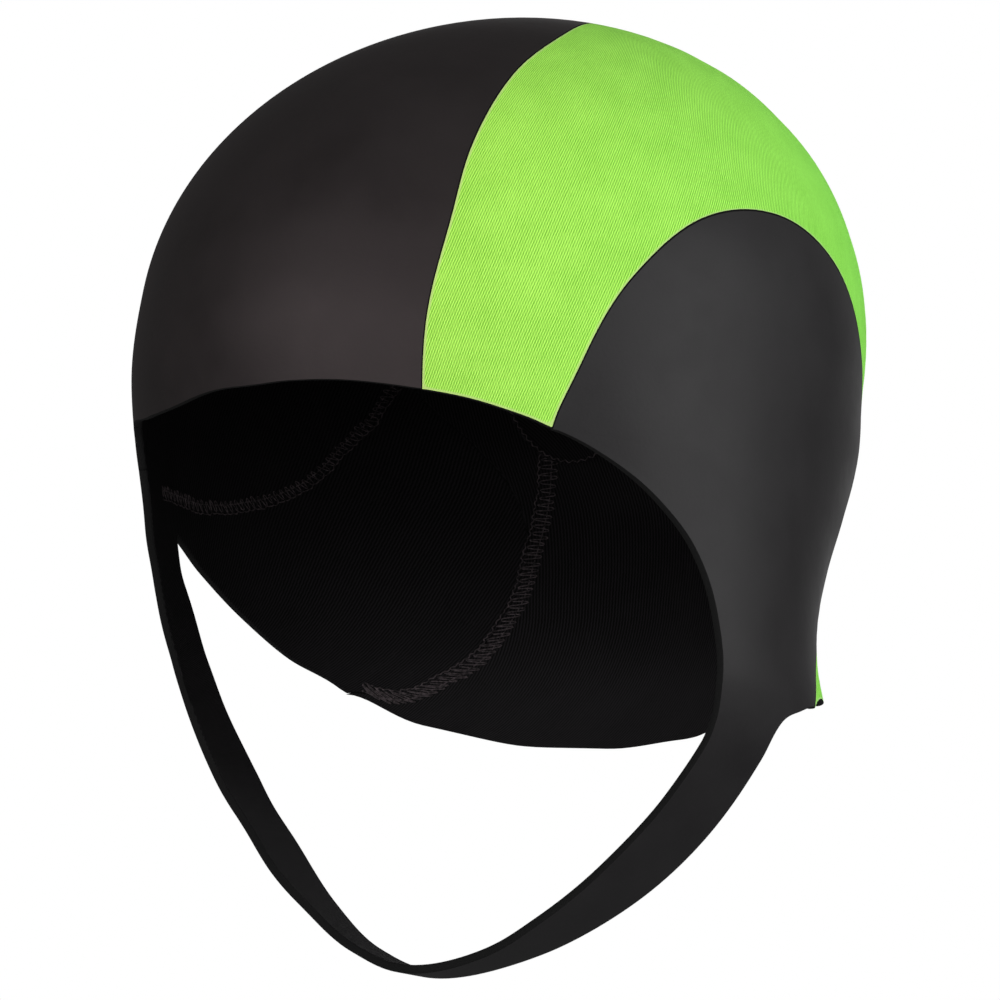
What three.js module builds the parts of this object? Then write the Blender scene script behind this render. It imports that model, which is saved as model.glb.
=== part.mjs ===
// A neoprene swim cap with ear panels and a chin strap, in the round form it takes on a head.
// Millimetres, +Z up. The forehead is towards -Y and the wearer's left ear towards +X.
// The origin is the middle of the head at the height of the cap's brow edge.
import * as THREE from 'three';

// Cloth
const WALL = 2; // thickness of the neoprene
const SEAM_GAP = 0.3; // slit between two panels, which the seam stitches close
const PATCH_THICKNESS = 0.8; // sewn-on patch inside the cap
const PATCH_CLEARANCE = 0.8; // patch to inner face, at the corners of the facets

// Dome, from the girth (the widest level) up to the crown
const GIRTH_HEIGHT = 33; // girth above the brow edge
const CROWN_RISE = 83.1; // crown above the girth
const CROWN_LEAN = 14; // how far the crown's middle leans back, plus the bend below
const CROWN_LEAN_BEND = 12.6;
const LEAN_SPAN = 100; // height that the two values above are given for

// Places on the cap are told by two angles: "around" turns from the forehead (0) past the
// left ear (90) to the back of the head (180), and "down" goes from the crown (0) to the
// girth (90) and on below it. This many millimetres of height make one degree of "down":
const MM_PER_DEGREE = (CROWN_RISE * Math.PI) / 180;
const GIRTH_DOWN = 90;

// Level sections from the girth to the lowest point of the chin strap: half width at the side,
// reach to the front and to the back of the section's middle, where that middle lies, and height.
const SECTIONS = [
  { down: GIRTH_DOWN, side: 78.4, front: 96.6, back: 96.4, middle: 0.0, up: GIRTH_HEIGHT },
  { down: 102, side: 78.7, front: 95.3, back: 98.4, middle: -2.1, up: 15.5 },
  { down: 112.7, side: 79.0, front: 89.5, back: 92.6, middle: -3.3, up: 0.0 },
  { down: 123, side: 79.3, front: 82.0, back: 84.0, middle: -3.8, up: -15.0 },
  { down: 133.3, side: 80.0, front: 80.0, back: 76.8, middle: -3.8, up: -30.0 },
  { down: 141, side: 80.4, front: 79.5, back: 77.0, middle: -3.5, up: -41.2 },
  { down: 150, side: 80.3, front: 79.0, back: 82.5, middle: -1.0, up: -54.4 },
  { down: 160, side: 76.3, front: 80.0, back: 78.0, middle: 6.0, up: -68.2 },
  { down: 175, side: 62.8, front: 80.0, back: 76.0, middle: 14.0, up: -85.1 },
  { down: 190, side: 46.6, front: 80.0, back: 76.0, middle: 15.0, up: -100.0 },
  { down: 205, side: 26.3, front: 80.0, back: 76.0, middle: 11.0, up: -111.9 },
  { down: 223, side: 0.0, front: 80.0, back: 76.0, middle: 6.0, up: -118.0 },
];
const STRAP_END_SLOPE = -1.5; // side, mm per degree, where the strap passes under the chin

// The tables below give every line for both sides; the right side's angles are turned the other
// way. The cap sits a little askew there: its right side is pulled forward and up.

// Seam between the front panel and the crown panel: from the brow edge over the top to its tip.
const FRONT_SEAM = [
  { leftAround: 32.2, leftDown: 112.8, rightAround: 42.0, rightDown: 110.9 },
  { leftAround: 33.8, leftDown: 102.0, rightAround: 39.6, rightDown: 101.0 },
  { leftAround: 35.4, leftDown: 88.0, rightAround: 37.0, rightDown: 88.0 },
  { leftAround: 35.8, leftDown: 74.0, rightAround: 35.8, rightDown: 74.0 },
  { leftAround: 38.0, leftDown: 56.5, rightAround: 38.0, rightDown: 56.5 },
  { leftAround: 43.6, leftDown: 39.5, rightAround: 43.6, rightDown: 39.5 },
  { leftAround: 57.8, leftDown: 16.0, rightAround: 57.8, rightDown: 16.0 },
  { leftAround: 180.0, leftDown: 15.5, rightAround: 180.0, rightDown: 15.5 },
];
// Line down the back of the head from that tip to the nape edge.
const BACK_LINE = [
  { around: 180, down: 15.5 },
  { around: 180, down: 52.0 },
  { around: 180, down: 86.0 },
  { around: 180, down: 116.0 },
  { around: 180, down: 134.0 },
  { around: 180, down: 141.5 },
  { around: 180, down: 145.4 },
];
// Seam round an ear panel: from the temple over the peak and down to the nape.
const EAR_SEAM = [
  { leftAround: 51.2, leftDown: 116.7, rightAround: 47.5, rightDown: 116.5 },
  { leftAround: 56.5, leftDown: 106.3, rightAround: 55.0, rightDown: 105.0 },
  { leftAround: 63.0, leftDown: 92.0, rightAround: 62.2, rightDown: 92.5 },
  { leftAround: 73.0, leftDown: 79.2, rightAround: 73.0, rightDown: 79.2 },
  { leftAround: 88.5, leftDown: 73.3, rightAround: 88.5, rightDown: 73.3 },
  { leftAround: 104.8, leftDown: 76.2, rightAround: 104.8, rightDown: 76.2 },
  { leftAround: 119.5, leftDown: 86.5, rightAround: 119.5, rightDown: 86.5 },
  { leftAround: 128.9, leftDown: 92.8, rightAround: 128.9, rightDown: 92.8 },
  { leftAround: 137.0, leftDown: 101.0, rightAround: 137.0, rightDown: 101.0 },
  { leftAround: 144.4, leftDown: 118.0, rightAround: 144.4, rightDown: 118.0 },
  { leftAround: 141.0, leftDown: 130.5, rightAround: 142.5, rightDown: 130.0 },
  { leftAround: 130.0, leftDown: 135.8, rightAround: 136.0, rightDown: 137.5 },
  { leftAround: 118.8, leftDown: 139.8, rightAround: 127.0, rightDown: 140.6 },
  { leftAround: 109.5, leftDown: 148.8, rightAround: 117.0, rightDown: 141.0 },
];
const ARCH_ROWS = [3, 5]; // rows of EAR_SEAM at both ends of the arch round the peak
// Brow edge from the middle of the forehead to the temple.
const BROW_EDGE = [
  { leftAround: 0.0, leftDown: 111.9, rightAround: 0.0, rightDown: 111.9 },
  { leftAround: 11.0, leftDown: 111.7, rightAround: 15.0, rightDown: 112.75 },
  { leftAround: 22.0, leftDown: 111.9, rightAround: 28.5, rightDown: 112.4 },
  { leftAround: 32.2, leftDown: 112.8, rightAround: 42.0, rightDown: 110.9 },
  { leftAround: 42.5, leftDown: 114.3, rightAround: 45.6, rightDown: 112.4 },
  { leftAround: 51.2, leftDown: 116.7, rightAround: 47.5, rightDown: 116.5 },
];
const BROW_SEAM_ROW = 3; // row of BROW_EDGE where the front seam meets it
// Nape edge from the middle of the back to the end of the ear seam.
const NAPE_EDGE = [
  { leftAround: 180.0, leftDown: 145.4, rightAround: 180.0, rightDown: 145.4 },
  { leftAround: 168.0, leftDown: 143.4, rightAround: 165.0, rightDown: 146.5 },
  { leftAround: 150.0, leftDown: 143.1, rightAround: 148.0, rightDown: 146.5 },
  { leftAround: 128.0, leftDown: 145.4, rightAround: 131.0, rightDown: 144.5 },
  { leftAround: 109.5, leftDown: 148.8, rightAround: 117.0, rightDown: 141.0 },
];
// Free edges of an ear panel and its half of the chin strap, down to under the chin: the face
// edge starts at the temple and the rear edge at the nape end of the ear seam.
const LEFT_FACE_EDGE = [
  { around: 51.2, down: 116.7 },
  { around: 60.0, down: 119.9 },
  { around: 68.5, down: 124.9 },
  { around: 75.0, down: 130.8 },
  { around: 79.2, down: 138.2 },
  { around: 80.6, down: 145.6 },
  { around: 79.6, down: 152.5 },
  { around: 77.2, down: 158.5 },
  { around: 72.6, down: 170.0 },
  { around: 69.0, down: 184.0 },
  { around: 68.8, down: 198.0 },
  { around: 71.6, down: 210.0 },
  { around: 73.0, down: 223.0 },
];
const LEFT_REAR_EDGE = [
  { around: 109.5, down: 148.8 },
  { around: 102.5, down: 150.6 },
  { around: 95.2, down: 153.6 },
  { around: 90.2, down: 159.2 },
  { around: 85.6, down: 170.0 },
  { around: 82.1, down: 184.0 },
  { around: 80.2, down: 198.0 },
  { around: 79.8, down: 210.0 },
  { around: 80.2, down: 223.0 },
];
const RIGHT_FACE_EDGE = [
  { around: 47.5, down: 116.5 },
  { around: 47.4, down: 120.6 },
  { around: 52.4, down: 125.4 },
  { around: 60.0, down: 130.0 },
  { around: 66.2, down: 135.8 },
  { around: 73.2, down: 143.0 },
  { around: 77.4, down: 150.0 },
  { around: 77.2, down: 158.6 },
  { around: 73.2, down: 169.0 },
  { around: 69.4, down: 182.0 },
  { around: 72.2, down: 195.5 },
  { around: 73.6, down: 209.0 },
  { around: 73.0, down: 223.0 },
];
const RIGHT_REAR_EDGE = [
  { around: 117.0, down: 141.0 },
  { around: 104.5, down: 136.6 },
  { around: 92.0, down: 131.4 },
  { around: 79.6, down: 126.3 },
  { around: 67.4, down: 122.1 },
  { around: 68.2, down: 123.6 },
  { around: 69.4, down: 125.8 },
  { around: 70.6, down: 127.6 },
  { around: 72.2, down: 129.2 },
  { around: 75.2, down: 131.8 },
  { around: 82.0, down: 139.6 },
  { around: 88.9, down: 149.8 },
  { around: 90.0, down: 158.5 },
  { around: 86.6, down: 169.0 },
  { around: 83.2, down: 183.0 },
  { around: 81.6, down: 196.0 },
  { around: 81.0, down: 210.0 },
  { around: 80.2, down: 223.0 },
];
const RIGHT_CROTCH = 4; // row of RIGHT_REAR_EDGE where the lower edge turns down along the strap
// How far down the rear line the front part of the ear seam reaches across: each stretch, told
// by two rows of EAR_SEAM, faces this many rows of the rear line.
const LEFT_STRETCHES = [{ fromRow: 3, toRow: 0, rearRows: 4 }];
const RIGHT_STRETCHES = [
  { fromRow: 3, toRow: 1, rearRows: 12 },
  { fromRow: 1, toRow: 0, rearRows: 1 },
];

// Oval patch on the inner face, behind and above the right ear
const PATCH = { x: -42, y: 62, radius: 19.5 }; // in degrees of "down", see chartPoint

// Fineness of the faceted surfaces
const STEPS = 4; // steps between two rows of an edge table
const FRONT_COLUMNS = 10;
const CROWN_COLUMNS = 9;
const EAR_COLUMNS = (ARCH_ROWS[1] - ARCH_ROWS[0]) * STEPS;
const PATCH_RINGS = 4;
const PATCH_SPOKES = 32;

const LEFT = 1;
const RIGHT = -1;
const QUARTER_TURN = 90;
const FULL_TURN = 360;

const hermite = (a, b, slopeA, slopeB, length, t) => {
  const t2 = t * t;
  const t3 = t2 * t;
  return (2 * t3 - 3 * t2 + 1) * a + (t3 - 2 * t2 + t) * length * slopeA
    + (3 * t2 - 2 * t3) * b + (t3 - t2) * length * slopeB;
};

// Slopes of the dome where the sections take over, so that the surface runs on smoothly.
const GIRTH_SLOPES = {
  side: 0,
  front: 0,
  back: 0,
  middle: (-CROWN_LEAN / LEAN_SPAN) * MM_PER_DEGREE,
  up: -MM_PER_DEGREE,
};
const END_SLOPES = { side: STRAP_END_SLOPE, front: 0, back: 0, middle: 0, up: 0 };

const rowSlope = (row, column) => {
  if (row === 0) return GIRTH_SLOPES[column];
  if (row === SECTIONS.length - 1) return END_SLOPES[column];
  const before = SECTIONS[row - 1];
  const after = SECTIONS[row + 1];
  return (after[column] - before[column]) / (after.down - before.down);
};

const sectionAt = (down) => {
  if (down <= GIRTH_DOWN) {
    const angle = THREE.MathUtils.degToRad(down);
    const level = SECTIONS[0];
    const rise = CROWN_RISE * Math.cos(angle);
    const share = rise / LEAN_SPAN;
    return {
      side: level.side * Math.sin(angle),
      front: level.front * Math.sin(angle),
      back: level.back * Math.sin(angle),
      middle: CROWN_LEAN * share + CROWN_LEAN_BEND * share * share,
      up: GIRTH_HEIGHT + rise,
    };
  }
  const lastInterval = SECTIONS.length - 2;
  const found = SECTIONS.findIndex((section, row) => row > 0 && section.down >= down) - 1;
  const row = found < 0 ? lastInterval : found;
  const a = SECTIONS[row];
  const b = SECTIONS[row + 1];
  const length = b.down - a.down;
  const t = (down - a.down) / length;
  const section = {};
  for (const column of Object.keys(END_SLOPES)) {
    const slopeA = rowSlope(row, column);
    const slopeB = rowSlope(row + 1, column);
    section[column] = hermite(a[column], b[column], slopeA, slopeB, length, t);
  }
  return section;
};

// The chart is the cap laid flat: "down" is the distance from its middle, "around" the direction.
const chartPoint = (around, down, side) => {
  const angle = THREE.MathUtils.degToRad(around) * side;
  return new THREE.Vector2(down * Math.sin(angle), -down * Math.cos(angle));
};

const anglesOf = (point, side) => {
  const around = THREE.MathUtils.radToDeg(Math.atan2(point.x, -point.y)) * side;
  return new THREE.Vector2(around < -QUARTER_TURN ? around + FULL_TURN : around, point.length());
};

const skinPoint = (x, y) => {
  const down = Math.hypot(x, y);
  const section = sectionAt(down);
  const sine = down > 0 ? x / down : 0;
  const cosine = down > 0 ? -y / down : 1;
  const reach = cosine > 0 ? section.front : section.back;
  return new THREE.Vector3(section.side * sine, section.middle - reach * cosine, section.up);
};

const NORMAL_STEP = 0.05;
const skinNormal = (x, y) => {
  const alongX = skinPoint(x + NORMAL_STEP, y).sub(skinPoint(x - NORMAL_STEP, y));
  const alongY = skinPoint(x, y + NORMAL_STEP).sub(skinPoint(x, y - NORMAL_STEP));
  return alongX.cross(alongY).normalize();
};

const catmullRom = (before, start, end, after, t) => {
  const blend = (p0, p1, p2, p3) => 0.5 * (2 * p1 + (p2 - p0) * t
    + (2 * p0 - 5 * p1 + 4 * p2 - p3) * t * t + (3 * p1 - p0 - 3 * p2 + p3) * t * t * t);
  return new THREE.Vector2(
    blend(before.x, start.x, end.x, after.x),
    blend(before.y, start.y, end.y, after.y),
  );
};

const reflected = (point, through) => through.clone().multiplyScalar(2).sub(point);

// A smooth run through chart points, STEPS samples between each two, sharp at the corner rows.
// startBefore and endAfter give the points beyond its ends, where the run goes on smoothly.
const smoothRun = (points, { corners = [], startBefore = null, endAfter = null } = {}) => {
  const last = points.length - 1;
  const run = [];
  for (let row = 0; row < last; row += 1) {
    const start = points[row];
    const end = points[row + 1];
    const sharpStart = corners.includes(row);
    const sharpEnd = corners.includes(row + 1);
    const before = row > 0 && !sharpStart ? points[row - 1] : (row === 0 && startBefore);
    const after = row + 1 < last && !sharpEnd ? points[row + 2] : (row + 1 === last && endAfter);
    for (let step = 0; step < STEPS; step += 1) {
      const t = step / STEPS;
      const p0 = before || reflected(end, start);
      const p3 = after || reflected(start, end);
      run.push(catmullRom(p0, start, end, p3, t));
    }
  }
  run.push(points[last].clone());
  return run;
};

// A seam's samples moved sideways by half the slit, to the left or right of its direction.
const besideSeam = (run, turn) => run.map((point, index) => {
  const ahead = run[Math.min(index + 1, run.length - 1)];
  const behind = run[Math.max(index - 1, 0)];
  const across = new THREE.Vector2(behind.y - ahead.y, ahead.x - behind.x).normalize();
  return point.clone().addScaledVector(across, (turn * SEAM_GAP) / (2 * MM_PER_DEGREE));
});

const resample = (run, count) => Array.from({ length: count + 1 }, (_, index) => {
  const place = (index / count) * (run.length - 1);
  const low = Math.min(Math.floor(place), run.length - 2);
  return run[low].clone().lerp(run[low + 1], place - low);
});

// Rows of chart points from one edge to the other. A curved first or last row bends the rows
// near it, less and less with distance.
const BEND_FADE = 6;
const ruledRows = (fromEdge, toEdge, columns, { firstRow = null, lastRow = null } = {}) => {
  const bend = (row, curve, column) => {
    if (!curve) return new THREE.Vector2();
    const straight = fromEdge[row].clone().lerp(toEdge[row], column / columns);
    return curve[column].clone().sub(straight);
  };
  const last = fromEdge.length - 1;
  return fromEdge.map((from, row) => Array.from({ length: columns + 1 }, (_, column) => {
    const share = row / last;
    return from.clone().lerp(toEdge[row], column / columns)
      .addScaledVector(bend(0, firstRow, column), (1 - share) ** BEND_FADE)
      .addScaledVector(bend(last, lastRow, column), share ** BEND_FADE);
  }));
};

// The same for one side of the cap, with rows that run evenly in its two angles.
const turnedRows = (fromEdge, toEdge, columns, side, { firstRow = null, lastRow = null } = {}) => {
  const angles = (run) => run && run.map((point) => anglesOf(point, side));
  const rows = ruledRows(angles(fromEdge), angles(toEdge), columns, {
    firstRow: angles(firstRow),
    lastRow: angles(lastRow),
  });
  return rows.map((row) => row.map(({ x, y }) => chartPoint(x, y, side)));
};

// A sheet of cloth in the making: each vertex has a place on the outer and on the inner face.
class Sheet {
  constructor(outerDepth, innerDepth) {
    this.outerDepth = outerDepth;
    this.innerDepth = innerDepth;
    this.outer = [];
    this.inner = [];
    this.triangles = [];
    this.known = new Map();
  }

  vertex(chart) {
    const skin = skinPoint(chart.x, chart.y);
    const normal = skinNormal(chart.x, chart.y);
    const outer = skin.clone().addScaledVector(normal, -this.outerDepth);
    const key = outer.toArray().map((value) => Math.round(value * 1e4)).join(' ');
    if (!this.known.has(key)) {
      this.known.set(key, this.outer.length);
      this.outer.push(outer);
      this.inner.push(skin.addScaledVector(normal, -this.innerDepth));
    }
    return this.known.get(key);
  }

  triangle(a, b, c) {
    if (a !== b && b !== c && c !== a) this.triangles.push([a, b, c]);
  }

  distance(a, b) {
    return this.outer[a].distanceTo(this.outer[b]);
  }

  // turn is 1 where the rows run so that the first triangle already faces outward.
  addRows(rows, turn) {
    const grid = rows.map((row) => row.map((chart) => this.vertex(chart)));
    for (let row = 0; row + 1 < grid.length; row += 1) {
      for (let column = 0; column + 1 < grid[row].length; column += 1) {
        const corners = [
          grid[row][column],
          grid[row][column + 1],
          grid[row + 1][column + 1],
          grid[row + 1][column],
        ];
        const [a, b, c, d] = turn > 0 ? corners : corners.reverse();
        const [start, next, far, last] = this.distance(a, c) <= this.distance(b, d)
          ? [a, b, c, d]
          : [b, c, d, a];
        this.triangle(start, next, far);
        this.triangle(start, far, last);
      }
    }
    return this;
  }

  // Outer face, inner face and a wall along every open edge make one closed solid.
  toGeometry() {
    const count = this.outer.length;
    const openEdges = new Map();
    for (const [a, b, c] of this.triangles) {
      for (const [from, to] of [[a, b], [b, c], [c, a]]) {
        if (!openEdges.delete(`${to} ${from}`)) openEdges.set(`${from} ${to}`, [from, to]);
      }
    }
    const index = [];
    for (const [a, b, c] of this.triangles) {
      index.push(a, b, c, count + a, count + c, count + b);
    }
    for (const [from, to] of openEdges.values()) {
      index.push(to, from, count + from, to, count + from, count + to);
    }
    const positions = [...this.outer, ...this.inner].flatMap((point) => point.toArray());
    const geometry = new THREE.BufferGeometry();
    geometry.setAttribute('position', new THREE.Float32BufferAttribute(positions, 3));
    geometry.setIndex(index);
    geometry.computeVertexNormals();
    return geometry;
  }
}

const smoothskin = (name, color) => new THREE.MeshStandardMaterial({
  name, color, roughness: 0.55, metalness: 0, side: THREE.DoubleSide,
});

const piece = (name, sheet, material) => {
  const mesh = new THREE.Mesh(sheet.toGeometry(), material);
  mesh.name = name;
  return mesh;
};

const chartPoints = (rows, side) => rows.map((row) => (side === LEFT
  ? chartPoint(row.leftAround, row.leftDown, LEFT)
  : chartPoint(row.rightAround, row.rightDown, RIGHT)));

// The front seam from the brow edge on the right, round the tip, to the brow edge on the left,
// moved by half the slit: turn is 1 for the front panel's side and -1 for the crown panel's.
const frontSeamRuns = (turn) => {
  const left = chartPoints(FRONT_SEAM, LEFT).reverse();
  const right = chartPoints(FRONT_SEAM, RIGHT).slice(0, -1);
  const run = besideSeam(smoothRun([...right, ...left]), -turn);
  const tip = (run.length - 1) / 2;
  return { right: run.slice(0, tip + 1), left: run.slice(tip).reverse() };
};

const earSeamRun = (side) => smoothRun(chartPoints(EAR_SEAM, side));

// The brow edge across the whole forehead, from the right temple to the left one.
const browRun = () => {
  const right = chartPoints(BROW_EDGE.slice(1), RIGHT).reverse();
  return smoothRun([...right, ...chartPoints(BROW_EDGE, LEFT)]);
};

// The part of the brow edge between two of its rows, counted from the middle of the forehead.
const browPart = (fromRow, toRow) => {
  const middle = BROW_EDGE.length - 1;
  return browRun().slice((middle + fromRow) * STEPS, (middle + toRow) * STEPS + 1);
};

const frontPanel = () => {
  const { right, left } = frontSeamRuns(1);
  const brow = browPart(-BROW_SEAM_ROW, BROW_SEAM_ROW);
  brow[0] = right[0];
  brow[brow.length - 1] = left[0];
  const firstRow = resample(brow, FRONT_COLUMNS);
  const rows = ruledRows(right, left, FRONT_COLUMNS, { firstRow });
  const material = smoothskin('black smoothskin neoprene', 0x1f1c1d);
  return piece('front_panel', new Sheet(0, WALL).addRows(rows, 1), material);
};

const crownHalf = (side) => {
  const seams = frontSeamRuns(-1);
  const backLine = smoothRun(BACK_LINE.map((row) => chartPoint(row.around, row.down, side)));
  const inner = [...(side === LEFT ? seams.left : seams.right), ...backLine.slice(1)];
  const outer = besideSeam(earSeamRun(side), side);
  const temple = BROW_EDGE.length - 1;
  const browEnd = side === LEFT
    ? browPart(BROW_SEAM_ROW, temple)
    : browPart(-temple, -BROW_SEAM_ROW).reverse();
  browEnd[0] = inner[0];
  browEnd[browEnd.length - 1] = outer[0];
  const nape = smoothRun(chartPoints(NAPE_EDGE, side), {
    startBefore: chartPoints(NAPE_EDGE, -side)[1],
  });
  nape[nape.length - 1] = outer[outer.length - 1];
  return turnedRows(inner, outer, CROWN_COLUMNS, side, {
    firstRow: resample(browEnd, CROWN_COLUMNS),
    lastRow: resample(nape, CROWN_COLUMNS),
  });
};

const crownPanel = () => {
  const sheet = new Sheet(0, WALL).addRows(crownHalf(LEFT), 1).addRows(crownHalf(RIGHT), -1);
  const material = smoothskin('lime jersey-faced neoprene', 0x8fe24f);
  material.roughness = 0.9;
  return piece('crown_panel', sheet, material);
};

// Free edge that runs on smoothly into the other half of the strap.
const freeEdge = (table, side, corners = []) => {
  const end = table[table.length - 1];
  const beforeEnd = table[table.length - 2];
  const points = table.map((row) => chartPoint(row.around, row.down, side));
  const endAfter = chartPoint(beforeEnd.around, 2 * end.down - beforeEnd.down, side);
  return smoothRun(points, { corners, endAfter });
};

const earHalf = (side, face, rear, stretches) => {
  const seam = besideSeam(earSeamRun(side), -side);
  const [archStart, archEnd] = ARCH_ROWS.map((row) => row * STEPS);
  const faceLine = [seam[archStart]];
  for (const { fromRow, toRow, rearRows } of stretches) {
    const stretch = seam.slice(toRow * STEPS, fromRow * STEPS + 1).reverse();
    faceLine.push(...resample(stretch, rearRows * STEPS).slice(1));
  }
  faceLine.push(...face.slice(1));
  const rearLine = [...seam.slice(archEnd), ...rear.slice(1)];
  const firstRow = seam.slice(archStart, archEnd + 1);
  return turnedRows(faceLine, rearLine, EAR_COLUMNS, side, { firstRow });
};

const earPanelsAndStrap = () => {
  const leftFace = freeEdge(LEFT_FACE_EDGE, LEFT);
  const leftRear = freeEdge(LEFT_REAR_EDGE, LEFT);
  const rightFace = freeEdge(RIGHT_FACE_EDGE, RIGHT);
  const rightRear = freeEdge(RIGHT_REAR_EDGE, RIGHT, [RIGHT_CROTCH]);
  const sheet = new Sheet(0, WALL)
    .addRows(earHalf(LEFT, leftFace, leftRear, LEFT_STRETCHES), -1)
    .addRows(earHalf(RIGHT, rightFace, rightRear, RIGHT_STRETCHES), 1);
  const material = smoothskin('charcoal smoothskin neoprene', 0x3a3838);
  return piece('ear_panels_chin_strap', sheet, material);
};

const innerPatch = () => {
  const rows = Array.from({ length: PATCH_RINGS + 1 }, (_, ring) => {
    const radius = (PATCH.radius * ring) / PATCH_RINGS;
    return Array.from({ length: PATCH_SPOKES + 1 }, (__, spoke) => {
      const angle = (spoke / PATCH_SPOKES) * 2 * Math.PI;
      const x = PATCH.x + radius * Math.cos(angle);
      const y = PATCH.y + radius * Math.sin(angle);
      return new THREE.Vector2(x, y);
    });
  });
  const depth = WALL + PATCH_CLEARANCE;
  const sheet = new Sheet(depth, depth + PATCH_THICKNESS).addRows(rows, -1);
  return piece('inner_patch', sheet, smoothskin('black jersey patch', 0x151416));
};

const swimCap = new THREE.Group();
swimCap.name = 'neoprene_swim_cap';
swimCap.add(frontPanel(), crownPanel(), earPanelsAndStrap(), innerPatch());

export default swimCap;
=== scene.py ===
"""Looks of a neoprene swim cap with ear panels and a chin strap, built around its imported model.

Every place on the cap is told by two angles, in degrees. "Around" turns from the forehead (0)
past the ear (90) to the back of the head (180), and "down" goes from the crown (0) to the girth,
the widest level (90), and on below it to the lowest point of the chin strap (223). The chart is
the cap laid flat: a place's direction from the chart's middle is "around", its distance "down".
"""
import math
from collections import namedtuple
from random import Random

import bpy
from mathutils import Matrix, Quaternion, Vector
from mathutils.kdtree import KDTree


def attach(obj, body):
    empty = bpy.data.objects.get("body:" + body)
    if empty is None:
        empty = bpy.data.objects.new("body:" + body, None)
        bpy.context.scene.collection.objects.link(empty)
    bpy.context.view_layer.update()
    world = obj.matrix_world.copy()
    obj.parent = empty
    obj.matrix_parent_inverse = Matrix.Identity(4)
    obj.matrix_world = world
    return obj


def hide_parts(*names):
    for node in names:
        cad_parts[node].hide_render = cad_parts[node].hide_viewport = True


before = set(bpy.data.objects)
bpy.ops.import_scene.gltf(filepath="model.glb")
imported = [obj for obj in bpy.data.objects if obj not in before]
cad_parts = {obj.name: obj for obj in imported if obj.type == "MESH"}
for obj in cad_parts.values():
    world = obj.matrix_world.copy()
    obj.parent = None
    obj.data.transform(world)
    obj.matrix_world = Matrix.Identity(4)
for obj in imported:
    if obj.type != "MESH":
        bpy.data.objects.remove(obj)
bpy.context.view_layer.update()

bl_info = {
    "name": "Neoprene swim cap",
    "version": (1, 0, 0),
    "blender": (4, 5, 0),
    "location": "View3D > Sidebar > Swim cap",
    "description": "Builds the panels, patch, seam threads and studio of a neoprene swim cap",
    "category": "Add Mesh",
}

MM = 0.001
LEFT = 1
RIGHT = -1
HALF_TURN = 180

# The head form that the cloth lies on, in millimetres

GIRTH_HEIGHT = 33.0
CROWN_RISE = 83.1
CROWN_LEAN = 14.0
CROWN_LEAN_BEND = 12.6
LEAN_SPAN = 100.0
MM_PER_DEGREE = CROWN_RISE * math.pi / HALF_TURN
GIRTH_DOWN = 90.0

# Level sections: half width, reach to the front and to the back of the section's middle,
# where that middle lies, and height.
Section = namedtuple("Section", "down side front back middle up")
SECTIONS = [
    Section(GIRTH_DOWN, 78.4, 96.6, 96.4, 0.0, GIRTH_HEIGHT),
    Section(102.0, 78.7, 95.3, 98.4, -2.1, 15.5),
    Section(112.7, 79.0, 89.5, 92.6, -3.3, 0.0),
    Section(123.0, 79.3, 82.0, 84.0, -3.8, -15.0),
    Section(133.3, 80.0, 80.0, 76.8, -3.8, -30.0),
    Section(141.0, 80.4, 79.5, 77.0, -3.5, -41.2),
    Section(150.0, 80.3, 79.0, 82.5, -1.0, -54.4),
    Section(160.0, 76.3, 80.0, 78.0, 6.0, -68.2),
    Section(175.0, 62.8, 80.0, 76.0, 14.0, -85.1),
    Section(190.0, 46.6, 80.0, 76.0, 15.0, -100.0),
    Section(205.0, 26.3, 80.0, 76.0, 11.0, -111.9),
    Section(223.0, 0.0, 80.0, 76.0, 6.0, -118.0),
]
GIRTH_SLOPES = {
    "side": 0.0,
    "front": 0.0,
    "back": 0.0,
    "middle": -CROWN_LEAN / LEAN_SPAN * MM_PER_DEGREE,
    "up": -MM_PER_DEGREE,
}
END_SLOPES = {"side": -1.5, "front": 0.0, "back": 0.0, "middle": 0.0, "up": 0.0}

# Seams and edges of the panels, in degrees. The cap sits a little askew on its right. A row is
# a pair where its two sides differ, and a place where they are alike or only one side is told.

Pair = namedtuple("Pair", "left_around left_down right_around right_down")
Place = namedtuple("Place", "around down")

# Corners where two or more of the lines meet
FRONT_TIP = Place(180.0, 15.5)  # tip of the front panel, behind the crown
NAPE = Place(180.0, 145.4)
FRONT_SEAM_FOOT = Pair(32.2, 112.8, 42.0, 110.9)  # where the front seam meets the brow edge
EAR_SEAM_START = Pair(51.2, 116.7, 47.5, 116.5)  # at the temple
EAR_SEAM_END = Pair(109.5, 148.8, 117.0, 141.0)  # at the lower edge
STRAP_FACE_MIDDLE = Place(73.0, 223.0)
STRAP_REAR_MIDDLE = Place(80.2, 223.0)

FRONT_SEAM = [
    FRONT_SEAM_FOOT,
    Pair(33.8, 102.0, 39.6, 101.0),
    Pair(35.4, 88.0, 37.0, 88.0),
    Place(35.8, 74.0),
    Place(38.0, 56.5),
    Place(43.6, 39.5),
    Place(57.8, 16.0),
    FRONT_TIP,
]
BACK_LINE = [
    FRONT_TIP,
    *(Place(180.0, down) for down in (52.0, 86.0, 116.0, 134.0, 141.5)),
    NAPE,
]
EAR_SEAM = [
    EAR_SEAM_START,
    Pair(56.5, 106.3, 55.0, 105.0),
    Pair(63.0, 92.0, 62.2, 92.5),
    Place(73.0, 79.2),
    Place(88.5, 73.3),
    Place(104.8, 76.2),
    Place(119.5, 86.5),
    Place(128.9, 92.8),
    Place(137.0, 101.0),
    Place(144.4, 118.0),
    Pair(141.0, 130.5, 142.5, 130.0),
    Pair(130.0, 135.8, 136.0, 137.5),
    Pair(118.8, 139.8, 127.0, 140.6),
    EAR_SEAM_END,
]
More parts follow.
